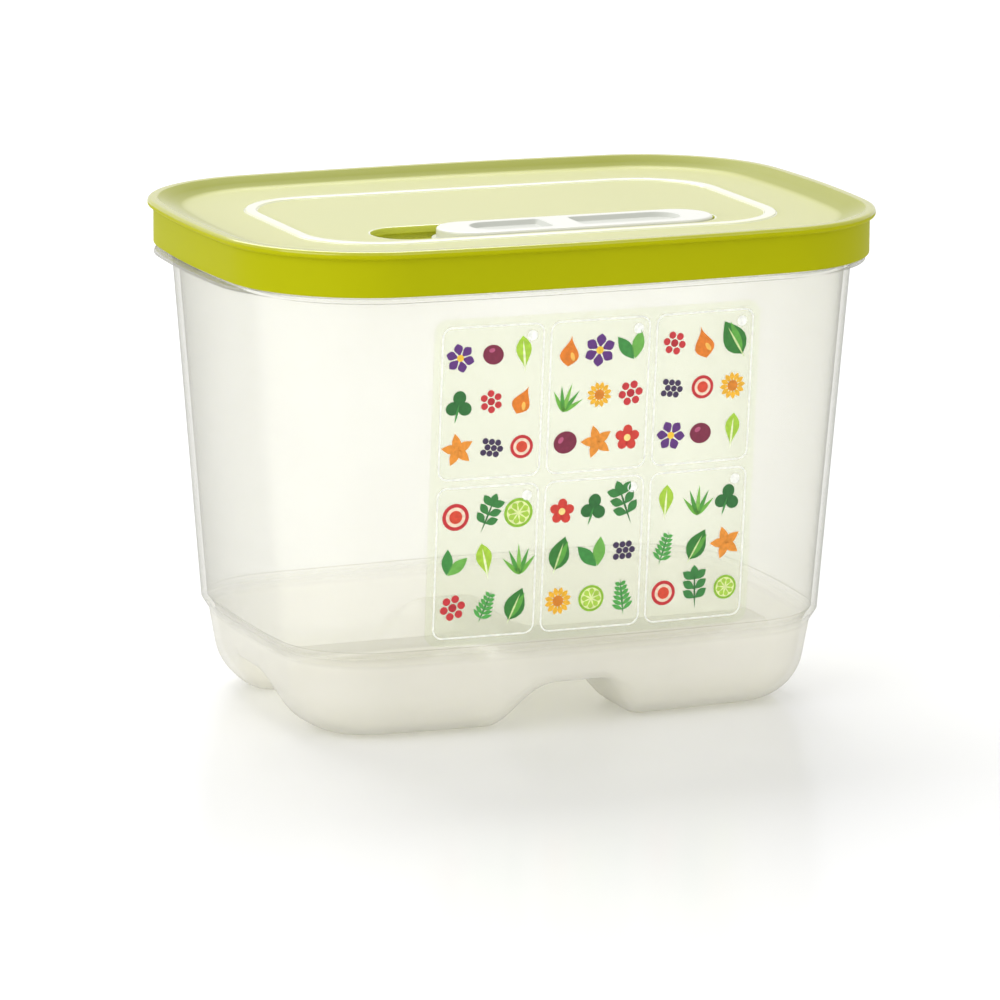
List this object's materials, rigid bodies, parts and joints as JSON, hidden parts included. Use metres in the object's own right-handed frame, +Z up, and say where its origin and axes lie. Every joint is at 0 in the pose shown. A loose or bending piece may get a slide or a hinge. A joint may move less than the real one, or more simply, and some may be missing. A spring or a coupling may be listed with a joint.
{
  "type": "produce keeper",
  "caption": "Tall vented fridge keeper: translucent drafted box on four feet, press-on sealing lid and a vent slide in the lid.",
  "frame": {"origin": "centre of the footprint, on the surface the feet stand on", "axes": "+X along the long side, -Y towards the front wall with the guide label, +Z up"},
  "size_m": [0.2, 0.147, 0.145],
  "materials": {
    "translucent_polypropylene": "satin",
    "lime_polyethylene": "satin",
    "white_polypropylene": "gloss",
    "printed_film": "satin"
  },
  "bodies": {
    "box": {"container": "translucent_polypropylene", "guide_label": "printed_film"},
    "cover": {"lid": "lime_polyethylene"},
    "slide": {"vent_slider": "white_polypropylene"}
  },
  "joints": [
    {"name": "lid_lift", "type": "slide", "parent": "box", "child": "cover", "axis": [0, 0, 1], "range_m": [0, 0.05]},
    {"name": "vent_slide", "type": "slide", "parent": "cover", "child": "slide", "axis": [-1, 0, 0], "range_m": [0, 0.0192]}
  ]
}
